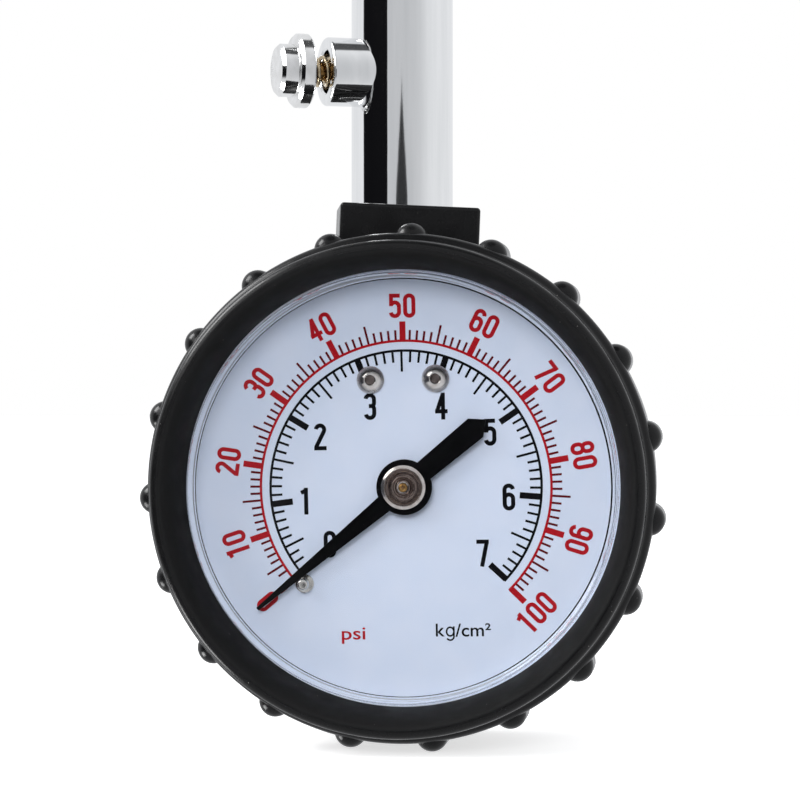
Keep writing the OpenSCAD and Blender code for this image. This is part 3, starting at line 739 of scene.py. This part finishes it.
def scale_marks():
    red = [base_line(RED_R, psi_angle(100) - 0.95)]
    fine = []
    for value in [*range(4, 101), 0]:
        angle = psi_angle(value)
        if value % 10 == 0:
            red.append(tick(angle, RED_R, RED_LONG, 0.68))
        else:
            fine.append(tick(angle, RED_R + 0.1, RED_SHORT if value % 5 else RED_LONG, 0.25))
    marks = [(KG_ONE - KG_STEP * (k - 10) / 10, k) for k in range(3, 71)]
    black = [base_line(BLACK_R, marks[-1][0] - 1.0)]
    for angle, k in marks + [(ZERO, 0)]:
        if k % 10 == 0:
            black.append(tick(angle, BLACK_R, BLACK_TEN, 0.7))
        else:
            black.append(tick(angle, BLACK_R, BLACK_ONE if k % 5 else BLACK_FIVE, 0.26))
    piece("psi_scale", joined(red), "ink_red", DIAL, "gauge")
    piece("psi_fine_scale", joined(fine), "ink_maroon", DIAL, "gauge")
    piece("kgcm2_scale", joined(black), "ink_black", DIAL, "gauge")


def strokes(digit, a, b, t):
    """The centre lines of a digit a wide and b high to each side, drawn with a line t thick."""
    top, low = b - a, -b + a
    loop = arc(0, top, a, 0, 180, 14) + arc(0, low, a, 180, 360, 14)
    q = 0.7 * a
    if digit == "0":
        return [(loop, True)]
    if digit == "1":
        return [([(0.35 * a, -b - t / 2), (0.35 * a, b + t / 2)], False),
                ([(-0.85 * a, b - 0.26 * b), (0.35 * a, b - t * 0.2)], False)]
    if digit == "2":
        curve = arc(0, top, a, 172, -28, 14)
        return [(curve + [(-a + 0.02, -b + t * 0.4), (-a + 0.02, -b)], False),
                ([(-a - t / 2, -b), (a + t / 2, -b)], False)]
    if digit == "3":
        upper = arc(0, top, a, 172, 0, 12) + arc(a - q, 0.04 * b + q, q, 0, -90, 8)
        lower = arc(a - q, 0.04 * b - q, q, 90, 0, 8) + arc(0, low, a, 0, -172, 12)
        return [(upper + [(-0.25 * a, 0.04 * b)], False), ([(-0.25 * a, 0.04 * b)] + lower, False)]
    if digit == "4":
        return [([(0.42 * a, b + t / 2), (0.42 * a, -b - t / 2)], False),
                ([(0.36 * a, b), (-a, -0.42 * b)], False),
                ([(-a - t / 2, -0.45 * b), (a + t / 2, -0.45 * b)], False)]
    if digit == "5":
        bowl = arc(0, 0.34 * b - a, a, 140, 0, 10) + arc(0, low, a, 0, -172, 12)
        return [([(a + t / 4, b), (-0.86 * a, b)], False),
                ([(-0.86 * a, b + t / 2), (-0.9 * a, -0.02 * b)], False), (bowl, False)]
    if digit == "6":
        bowl = arc(0, 0.22 * b - a, a, 0, 180, 12) + arc(0, low, a, 180, 360, 12)
        return [(bowl, True), ([(-a, low)] + arc(0, top, a, 180, 8, 14), False)]
    if digit == "7":
        return [([(-a - t / 2, b), (a + t / 2, b)], False),
                ([(a, b), (-0.25 * a, -b - t / 2)], False)]
    if digit == "8":
        u = 0.93 * a
        upper = arc(0, top, u, 0, 180, 12) + arc(0, u, u, 180, 360, 12)
        lower = arc(0, -a + 0.02, a, 0, 180, 12) + arc(0, low, a, 180, 360, 12)
        return [(upper, True), (lower, True)]
    return [([(-x, -y) for x, y in path], closed) for path, closed in strokes("6", a, b, t)]


def number(value, height, width, line, x, y, spin):
    """Digits side by side, drawn upright and then turned and placed."""
    text = str(value)
    out = []
    pitch = width + 0.24
    for i, digit in enumerate(text):
        lines = strokes(digit, (width - line) / 2, (height - line) / 2, line)
        for layer, (path, closed) in enumerate(lines):
            bm = ribbon(path, line, 0, INK + LAYER * layer, closed)
            out.append(placed(bm, x=(i - (len(text) - 1) / 2) * pitch))
    return placed(joined(out), x=x, y=y, spin=spin)


def numerals():
    red = []
    for value in range(0, 101, 10):
        angle = psi_angle(value)
        spin = angle + 90 if value == 100 else angle - 90
        red.append(number(value, 2.72, 1.38, 0.45, *around(PSI_RING, angle), spin))
    black = [number(value, 3.0, 1.4, 0.46, *place, DIAL_ROLL)
             for value, place in enumerate(KG_PLACES)]
    piece("psi_numbers", joined(red), "ink_red", DIAL, "gauge")
    piece("kgcm2_numbers", joined(black), "ink_black", DIAL, "gauge")


def word(text, left, right, baseline):
    """Plain letters, fitted between two places on their line."""
    curve = bpy.data.curves.new("words", "FONT")
    curve.body = text
    curve.size = UNIT_SIZE
    curve.extrude = INK / 2
    curve.offset = 0.02
    curve.resolution_u = 5
    bm = from_curve(curve, INK / 2)
    xs = [v.co.x for v in bm.verts]
    scale = (right - left) / (max(xs) - min(xs))
    bmesh.ops.translate(bm, verts=bm.verts, vec=(-min(xs), 0, 0))
    bmesh.ops.scale(bm, verts=bm.verts, vec=(scale, 1, 1))
    return placed(bm, x=left, y=baseline, spin=DIAL_ROLL)


def letter_g(x, baseline):
    """A plain g: a bowl, and a stem that ends in a hook."""
    a, line, tall, middle = 0.41, 0.19, 1.18, 0.46
    bowl = [(px, tall * py) for px, py in arc(0, middle, a, 0, 360, 24)[:-1]]
    stem = [(a, 1.12), (a, 0.02)] + arc(0, 0, a, 0, -150, 12)
    marks = [ribbon(bowl, line, 0, INK, True), ribbon(stem, line, 0, INK + LAYER)]
    return placed(joined(marks), x=x, y=baseline, spin=DIAL_ROLL)


def units():
    psi = word("psi", -7.16, -4.49, PSI_LINE)
    kg = [word("k", 3.41, 4.4, KG_LINE), letter_g(5.02, KG_LINE), word("/cm²", 5.6, 9.57, KG_LINE)]
    piece("psi_unit", psi, "ink_red", DIAL, "gauge")
    piece("kgcm2_unit", joined(kg), "ink_black", DIAL, "gauge")


# ---- what stands on the dial ----

SCREW_ASIDE, SCREW_UP = 3.65, 12
HUB_R = 3.1
POINTER_TIP, POINTER_TAIL = 21.4, -11.8
POINTER_LOW, POINTER_TOP = 1.2, 1.7
BUSH_R = 2.46
BUSH_BORE = 0.52


def dial_screws():
    for name, side in (("dial_screw_left", -1), ("dial_screw_right", 1)):
        outline = soften([(0, -4.4), (0.8, -4.4), (0.8, 0), (1.56, 0, 0.05), (1.56, 0.22, 0.1),
                          (1.15, 0.62), (0.66, 0.9, 0.08), (0.58, 0.84), (0.5, 0.72), (0, 0.7)], 3)
        head = lathe(outline, 72)
        for angle in (0, 90):
            cross = placed(box((-0.38, -0.09, 0.5), (0.38, 0.09, 2)), spin=angle)
            head = combined(head, cross, "DIFFERENCE")
        at = DIAL @ turn(DIAL_ROLL, "Z") @ shift(side * SCREW_ASIDE, SCREW_UP, 0) @ turn(20, "Z")
        piece(name, head, "screw_chrome", at, "gauge", ["dial_screws"])


def stop_pin():
    lo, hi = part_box("stop_pin")
    outline = soften([(0, -1.1), (0.6, -1.1), (0.6, 0), (1.05, 0), (1.05, 0.3, 0.12),
                      (0.65, 0.36, 0.06), (0.65, 2.2, 0.3), (0, 2.2)], 4)
    x = ((lo.x + hi.x) / 2 - CENTRE.x) / MM
    y = ((lo.z + hi.z) / 2 - CENTRE.z) / MM
    pin = placed(lathe(outline, 56), x=x, y=y)
    piece("zero_stop", pin, "pin_nickel", DIAL, "gauge", ["stop_pin"])


def pointer():
    """The plate of the pointer: a tapered needle, a round hub and a pointed counterweight."""
    tail, half_tail = POINTER_TAIL, 1.33
    needle = math.degrees(math.asin(1 / HUB_R))
    waist = math.degrees(math.asin(1.17 / HUB_R))
    outline = [(POINTER_TIP, -0.2), (POINTER_TIP, 0.2)]
    outline += arc(0, 0, HUB_R, needle, 180 - waist, 30)
    outline += [(tail + 1.45, half_tail), (tail, 0), (tail + 1.45, -half_tail)]
    outline += arc(0, 0, HUB_R, 180 + waist, 360 - needle, 30)
    hole = arc(0, 0, 1.02, 0, 354, 59)
    plate = sheet_metal([outline, hole], POINTER_LOW, POINTER_TOP, 0.07)
    piece("black_pointer", placed(plate, spin=ZERO), "pointer_black", DIAL, "pointer", ["pointer"])


def bush():
    outline = soften([(BUSH_BORE, 0.8), (1, 0.8), (1, POINTER_TOP), (BUSH_R, POINTER_TOP),
                      (BUSH_R, 2.44, 0.03), (2.12, 2.57, 0.02), (2.04, 2.45)], 3)
    for r in (1.8, 1.63, 1.46):
        outline += [(r + 0.05, 2.45), (r, 2.41), (r - 0.05, 2.45)]
    outline += soften([(1.33, 2.44), (1.3, 2.58, 0.05), (1.15, 2.58, 0.05), (1.06, 2.4),
                       (0.95, 2.36), (0.9, 2.42), (0.76, 2.72, 0.05), (BUSH_BORE, 2.74)], 3)
    piece("pointer_hub", lathe(outline, 128), "bush_nickel", DIAL, "pointer", ["pointer_bush"])
    centre = soften([(0.2, 2.755), (0.47, 2.755), (0.47, 2.95, 0.08), (0.3, 3.03, 0.05),
                     (0.2, 2.95)], 3)
    piece("arbor_centre", lathe(centre, 48), "plunger_bronze", DIAL, "pointer")


# ---- stem and bleed valve ----


def stem():
    bottom, top, edge, flare = STEM_FOOT, STEM_TOP, 0.3, 0.5
    outside = soften([(0, bottom), (STEM_R, bottom, edge), (STEM_R, top, edge), (0, top)])
    side = soften([(0, 0), (BOSS_R, 0), (BOSS_R, BOSS_END, 0.34), (0, BOSS_END)])
    boss = moved(lathe(side, 160), BLEED_IN_STEM)
    tube = combined(lathe(outside, 256), boss, "UNION")
    shoulder = bottom + 9.2
    check_top = CHECK_LOW + 10
    inside = [(0, bottom - 1), (4.03, bottom - 1), (4.03, shoulder), (1.7, shoulder),
              (1.7, CHECK_LOW), (3.1, CHECK_LOW), (3.1, check_top), (3.6, check_top),
              (3.6, top + 1), (0, top + 1)]
    tube = combined(tube, lathe(inside, 96), "DIFFERENCE")
    mouth = BOSS_END + 0.28
    drill = [(0, -2.8), (BORE_R, -2.8), (BORE_R, mouth - flare), (BORE_R + flare, mouth),
             (0, mouth)]
    tube = combined(tube, moved(lathe(drill, 96), BLEED_IN_STEM), "DIFFERENCE")
    piece("chrome_stem", tube, "stem_chrome", STEM, "gauge", ["stem_body"])


def bleed_valve():
    inner, low = 1.25, 2.4
    seat = soften([(inner, low), (2.42, low), (2.42, SPRING_FOOT, 0.15),
                   (inner, SPRING_FOOT, 0.2)], 3)
    piece("bleed_valve_seat", lathe(seat, 72), "plunger_bronze", BLEED, "gauge",
          ["bleed_seat"])
    tip, neck_r = BUTTON_BACK + BUTTON_HOLE - 0.01, 0.85
    rod = soften([(0, 0.6), (1.85, 0.6, 0.15), (1.85, 1.5), (ROD_R, 1.5), (ROD_R, 7.5),
                  (neck_r, 7.65), (neck_r, 8.0), (ROD_R, 8.15), (ROD_R, tip), (0, tip)], 3)
    piece("bleed_rod", lathe(rod, 64), "plunger_bronze", BLEED, "bleed_valve",
          ["bleed_plunger"])
    spring = coil(1.6, 0.22, SPRING_FOOT, BUTTON_BACK, 5)
    spring = piece("bleed_coil", spring, "spring_steel", BLEED, "gauge", ["bleed_spring"])
    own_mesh(spring)


def bleed_button():
    """The stepped knob, its rim finely grooved, on the end of the rod."""
    back, step, end = BUTTON_BACK, BUTTON_BACK + 1.73, BUTTON_BACK + 3.68
    rim, cap = 4.2, 3.0
    grooves = [(rim - (0.025 if i % 2 else 0), back + 0.26 + i * 0.09) for i in range(12)]
    outline = soften([(0, back), (rim - 0.2, back), (rim, back + 0.2)]) + grooves
    outline += soften([(rim, step - 0.36), (3.86, step, 0.08), (cap, step, 0.06),
                       (cap, end - 0.4), (2.62, end, 0.1), (0, end)], 3)
    hole = [(0, back - 1), (ROD_R, back - 1), (ROD_R, back + BUTTON_HOLE), (0, back + BUTTON_HOLE)]
    knob = combined(lathe(outline, 144), lathe(hole, 48), "DIFFERENCE")
    piece("bleed_knob", knob, "button_chrome", BLEED, "bleed_valve", ["bleed_button"])


def check_valve():
    spring = coil(2.1, 0.25, CHECK_LOW, CHECK_LOW + 7.7, 5)
    spring = piece("check_coil", spring, "spring_steel", STEM, "gauge", ["check_spring"])
    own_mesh(spring)


# ---- chuck ----


HEX_ACROSS = 12.5
HEX_THICK = 4.7
ELBOW_R = 6.2
THREAD_R = 5.3
THREAD_LOW, THREAD_PITCH, THREAD_END = 8.0, 0.7, 12.5
NOSE_R = 7.0
NOSE_LOW, NOSE_END = 8.2, 19.6
NOSE_BORE = 5.63
KNURL_LOW, KNURL_HIGH = 9.6, 17.2
KNURL_DEEP, KNURL_COUNT, KNURL_LEAD = 0.26, 42, 0.92
SEAL_LOW, SEAL_TOP = 12.5, 14.6
MOUTH_R = 4.2


def chuck_body():
    low = STEM_TOP + 0.8
    high = low + HEX_THICK
    flats = [around(HEX_ACROSS / 2 / math.cos(math.radians(30)), 60 * k) for k in range(6)]
    ease = lathe([(0, low), (6.2, low), (7.3, low + 0.6), (7.3, high - 0.6), (6.2, high),
                  (0, high)], 144)
    body = combined(prism(flats, low, high), ease, "INTERSECT")
    post = soften([(0, STEM_TOP - 8), (3.57, STEM_TOP - 8, 0.3), (3.57, low + 0.5),
                   (5.0, low + 0.5), (5.0, high - 0.3), (5.4, high), (4.5, high + 0.6, 0.4),
                   (4.5, ELBOW_Z), (0, ELBOW_Z)])
    body = combined(body, lathe(post, 144), "UNION")
    head = [(0, -ELBOW_R)] + arc(0, 0, ELBOW_R, -88, 0, 24)
    head += soften([(ELBOW_R, 0.4), (5.9, 1.0, 0.3), (5.9, THREAD_LOW, 0.25),
                    (THREAD_R, THREAD_LOW)])[1:]
    for i in range(6):
        z = THREAD_LOW + 0.2 + i * THREAD_PITCH
        head += [(THREAD_R, z), (THREAD_R + 0.3, z + 0.25), (THREAD_R + 0.3, z + 0.4),
                 (THREAD_R, z + 0.65)]
    head += [(THREAD_R, THREAD_END), (0, THREAD_END)]
    body = combined(body, moved(lathe(head, 144), CHUCK_IN_STEM), "UNION")
    bore = [(0, STEM_TOP - 9), (AIR_R, STEM_TOP - 9), (AIR_R, ELBOW_Z + 1), (0, ELBOW_Z + 1)]
    body = combined(body, lathe(bore, 48), "DIFFERENCE")
    bore = lathe([(0, -0.6), (AIR_R, -0.6), (AIR_R, 14), (0, 14)], 48)
    body = combined(body, moved(bore, CHUCK_IN_STEM), "DIFFERENCE")
    piece("angled_chuck", body, "stem_chrome", STEM, "gauge", ["chuck_body"])


def knurled(bm):
    """Crossed grooves pressed into the side of the nose."""
    for v in bm.verts:
        z = v.co.z
        if KNURL_LOW - 0.05 < z < KNURL_HIGH + 0.05 and v.co.xy.length > NOSE_R - 0.01:
            a = math.atan2(v.co.y, v.co.x) / math.tau * KNURL_COUNT
            ridge = [abs((a + s * z * KNURL_LEAD) % 1 - 0.5) * 2 for s in (-1, 1)]
            v.co.xy *= (NOSE_R - KNURL_DEEP * (1 - min(ridge))) / NOSE_R
    return bm


def chuck_nose():
    """The screwed nose; it is made in the stem's frame, so that its box is measured tightly."""
    low, end, r, steps = NOSE_LOW, NOSE_END, NOSE_R, 48
    relief = r - 0.28
    outline = soften([(NOSE_BORE, low), (r - 0.4, low, 0.1), (r, low + 0.45, 0.1)], 3)
    outline += [(r, 9.2), (relief, 9.3), (relief, 9.5)]
    outline += [(r, KNURL_LOW + (KNURL_HIGH - KNURL_LOW) * i / steps) for i in range(steps + 1)]
    outline += [(relief, 17.3), (relief, 17.5), (r, 17.6)]
    outline += soften([(r, 17.7), (r, end - 0.6, 0.1), (r - 0.6, end, 0.12), (4.5, end, 0.12),
                       (MOUTH_R, end - 0.3, 0.1), (MOUTH_R, SEAL_TOP), (NOSE_BORE, SEAL_TOP)],
                      3)[1:]
    nose = moved(knurled(lathe(outline, 252)), CHUCK_IN_STEM)
    piece("knurled_nose", nose, "nose_chrome", STEM, "gauge", ["chuck_nose"])


def chuck_seal():
    inner, outer = 2.2, 5.5
    outline = soften([(inner, SEAL_LOW, 0.1), (outer, SEAL_LOW, 0.1), (outer, SEAL_TOP, 0.2),
                      (inner, SEAL_TOP, 0.45)], 4)
    piece("valve_grommet", lathe(outline, 96), "seal_rubber", CHUCK, "gauge", ["chuck_seal"])


# ---- studio ----


SENSOR_MM = 36
LENS_MM = 141.7
EYE = CENTRE + Vector((36.8, -350, 11)) * MM
AIM = CENTRE + Vector((-0.69, 0, 9.68)) * MM

# Each lamp's place from the dial's centre and its size, in metres, and its watts. Mirrors and
# glass don't show the last kind.
LAMPS = [
    ("key", (-0.55, -0.5, 0.4), (0.4, 0.4), 1.6, True),
    ("front", (-0.02, -0.7, 0.2), (0.3, 0.2), 2.7, False),
    ("upper_left", (-0.5, -0.02, 0.42), (0.3, 0.3), 4, True),
    ("lower_left", (-0.5, -0.02, -0.34), (0.25, 0.2), 2.4, True),
]
ROOM_BEHIND = (0.86, 0.87, 0.89)
ROOM_AHEAD = (0.6, 0.61, 0.63)
ROOM_VEIL = (0.02, 0.02, 0.022)
ROOM_DARK = (0.006, 0.006, 0.007)
FLOOR_HALF = 4
FLOOR_GLOW = 0.66


def looking(o, place, aim):
    """Puts a camera or lamp at a place, looking at another, and into the scene."""
    bpy.context.scene.collection.objects.link(o)
    o.location = place
    o.rotation_euler = (aim - place).to_track_quat("-Z", "Y").to_euler()


def camera():
    data = bpy.data.cameras.new("camera")
    data.sensor_width = SENSOR_MM
    data.lens = LENS_MM
    data.clip_start = 0.01
    o = bpy.data.objects.new("camera", data)
    looking(o, EYE, AIM)
    bpy.context.scene.camera = o


def lamps():
    for name, place, (wide, high), watts, mirrored in LAMPS:
        data = bpy.data.lights.new(name, "AREA")
        data.shape = "RECTANGLE"
        data.size, data.size_y = wide, high
        data.energy = watts
        o = bpy.data.objects.new(name, data)
        looking(o, CENTRE + Vector(place), CENTRE)
        o.visible_glossy = mirrored
        o.visible_transmission = mirrored


def room():
    """White to the camera; to everything else a pale room with four dark parts.

    They are a screen at the left, a spot low in front that ends in a point, the ceiling, and a
    veil beside the camera, which the window mirrors. Left and rise are the angles from straight
    ahead of the dial.
    """
    world = bpy.data.worlds.new("room")
    bpy.context.scene.world = world
    world.use_nodes = True
    n = Nodes(world.node_tree)
    out = world.node_tree.nodes["Background"]
    way = n.add("SeparateXYZ")
    n.put(way.inputs[0], n.add("TexCoord").outputs["Generated"])
    x, y, z = way.outputs
    left = n.math("ARCTAN2", n.math("MULTIPLY", x, -1.0), n.math("MULTIPLY", y, -1.0))
    rise = n.math("ARCSINE", z)
    d = math.radians
    level = n.between(n.math("ABSOLUTE", rise), d(17), d(23), 1.0, 0.0)
    screen = n.math("MULTIPLY", n.band(left, d(26.5), d(93.5), d(2), d(2.5)), level)
    taper = n.math("MULTIPLY", n.math("SUBTRACT", d(5.5), rise), 6.5)
    reach = n.math("MINIMUM", taper, d(13))
    off = n.math("ABSOLUTE", n.math("SUBTRACT", left, d(-5)))
    spot = n.between(n.math("SUBTRACT", reach, off), d(-0.4), d(0.6))
    spot = n.math("MULTIPLY", spot, n.between(rise, d(-26), d(-18)))
    dark = n.math("MAXIMUM", screen, n.math("MULTIPLY", spot, 0.95))
    dark = n.math("MAXIMUM", dark, n.between(rise, d(64), d(70), 0.0, 0.9))
    veil = n.math("MULTIPLY", n.band(left, d(2.8), d(14), d(2.6), d(3)),
                  n.band(rise, d(-12), d(3.3), d(4), d(0.9)))
    ahead = n.between(n.math("MULTIPLY", y, -1.0), 0.2, 0.95)
    tone = n.blend(ahead, ROOM_BEHIND, ROOM_AHEAD)
    tone = n.blend(n.math("MULTIPLY", veil, 0.9), tone, ROOM_VEIL)
    tone = n.blend(dark, tone, ROOM_DARK)
    seen = n.add("LightPath").outputs["Is Camera Ray"]
    n.put(out.inputs[0], n.blend(seen, tone, (1, 1, 1)))
    out.inputs[1].default_value = 1.0


def floor():
    """A pale floor, which the window and the chrome don't mirror."""
    bm = bmesh.new()
    bmesh.ops.create_grid(bm, x_segments=12, y_segments=12, size=FLOOR_HALF)
    mesh = bpy.data.meshes.new("floor")
    bm.to_mesh(mesh)
    bm.free()
    o = bpy.data.objects.new("floor", mesh)
    bpy.context.scene.collection.objects.link(o)
    m, n, s = surface("pale_floor", Roughness=0.7)
    n.put(s.inputs["Base Color"], n.blend(n.noise(0.02, 3), (0.66, 0.66, 0.66), (0.7, 0.7, 0.7)))
    s.inputs["Emission Color"].default_value = (1, 1, 1, 1)
    glow = n.math("MULTIPLY", n.add("LightPath").outputs["Is Camera Ray"], FLOOR_GLOW)
    n.put(s.inputs["Emission Strength"], glow)
    mesh.materials.append(m)
    o.visible_glossy = False
    o.visible_transmission = False


def studio():
    camera()
    room()
    floor()
    bpy.context.scene.view_settings.view_transform = "Standard"
    lamps()


def cad_finishes():
    """Every CAD node that stays takes the finish of its slot."""
    for part in frame["record"]["subparts"]:
        for place in frame["nodes"][part["node"]].material_slots:
            place.material = FINISHES[part["material_slot"]]


studio()
cad_finishes()
boot()
case()
window()
rings()
scale_marks()
numerals()
units()
dial_screws()
stop_pin()
pointer()
bush()
stem()
bleed_valve()
bleed_button()
check_valve()
chuck_body()
chuck_nose()
chuck_seal()
